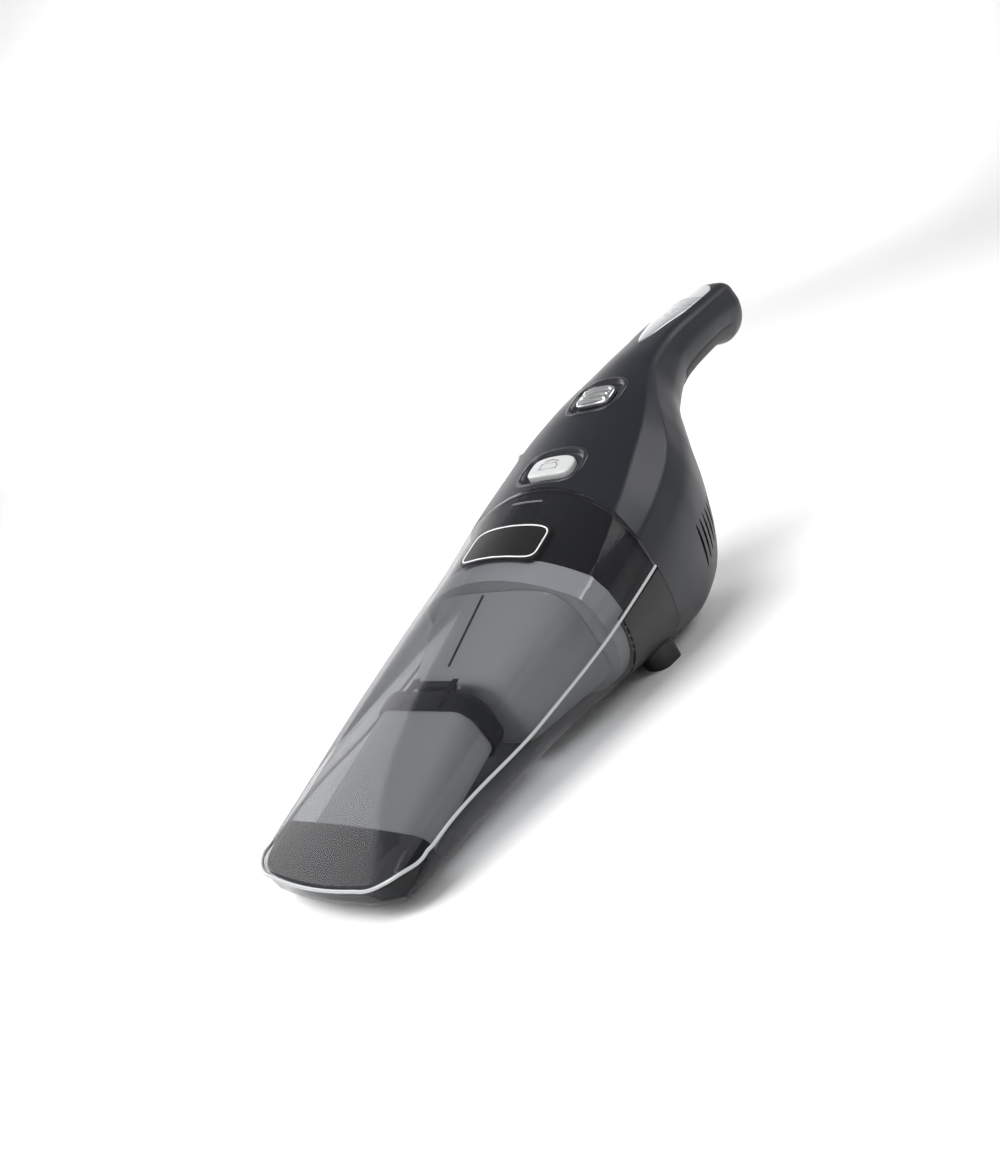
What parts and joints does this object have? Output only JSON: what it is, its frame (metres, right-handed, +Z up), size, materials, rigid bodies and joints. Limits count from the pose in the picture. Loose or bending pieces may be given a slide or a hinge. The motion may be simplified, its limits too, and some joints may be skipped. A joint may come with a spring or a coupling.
{
  "type": "handheld vacuum",
  "caption": "Cordless handheld vacuum with a smoked clear dust bowl, grey intake duct, dark two-shell body and a slim handle.",
  "frame": {"origin": "on the table, under the middle of the part's bounding box", "axes": "-Y towards the nozzle, +Y towards the handle, +X to the right seen from the handle, +Z up; the part stands on its nozzle lip, feet and belly"},
  "size_m": [0.109, 0.3898, 0.1452],
  "materials": {
    "clear_smoke": "gloss",
    "shell_navy": "satin",
    "black_plastic": "satin",
    "grey_plastic": "satin",
    "duct_grey": "satin",
    "filter_grey": "matte",
    "soft_rubber": "matte",
    "button_white": "gloss",
    "slider_silver": "satin",
    "inlay_grey": "satin",
    "steel": "satin",
    "cell_wrap": "gloss",
    "board_green": "satin"
  },
  "bodies": {
    "handset": {"front_collar": "black_plastic", "inlet_grille": "black_plastic", "feet": "soft_rubber", "housing_left": "shell_navy", "housing_right": "shell_navy", "shell_screws": "steel", "release_bezel": "grey_plastic", "slider_bezel": "grey_plastic", "handle_inlay": "inlay_grey", "charge_lens": "inlay_grey", "grip_pad": "soft_rubber", "motor": "steel", "fan_housing": "grey_plastic", "battery_cells": "cell_wrap", "battery_holder": "black_plastic", "control_board": "board_green", "power_switch": "black_plastic", "charging_jack": "black_plastic"},
    "bowl": {"dust_bowl": "clear_smoke", "intake_duct": "duct_grey", "nozzle_liner": "black_plastic", "duct_collar": "black_plastic", "flap_pin": "steel", "filter_frame": "grey_plastic", "filter_cloth": "filter_grey", "filter_cage": "grey_plastic", "filter_seal": "soft_rubber", "label_plaque": "black_plastic"},
    "flap": {"duct_flap": "soft_rubber"},
    "button": {"release_button": "button_white"},
    "slider": {"power_slider": "slider_silver"},
    "fan_rotor": {"fan": "black_plastic", "motor_shaft": "steel"}
  },
  "joints": [
    {"name": "bowl_tilt", "type": "hinge", "parent": "handset", "child": "bowl", "pos_m": [0, -0.03208, 0.00194], "axis": [1, 0, 0], "range_deg": [0, 25]},
    {"name": "flap_swing", "type": "hinge", "parent": "bowl", "child": "flap", "pos_m": [0, -0.10674, 0.04782], "axis": [1, 0, 0], "range_deg": [0, 20], "stiffness_Nm_per_rad": 0.004, "springref_deg": -8.59},
    {"name": "release_press", "type": "slide", "parent": "handset", "child": "button", "axis": [0, 0.2826, -0.9593], "range_m": [0, 0.0025], "stiffness_N_per_m": 400, "springref_m": -0.001},
    {"name": "power_slide", "type": "slide", "parent": "handset", "child": "slider", "axis": [0, -0.9494, -0.314], "range_m": [0, 0.004]},
    {"name": "fan_spin", "type": "hinge", "parent": "handset", "child": "fan_rotor", "pos_m": [0, 0.01583, 0.05108], "axis": [0, 0.9593, 0.2826], "continuous": true}
  ]
}
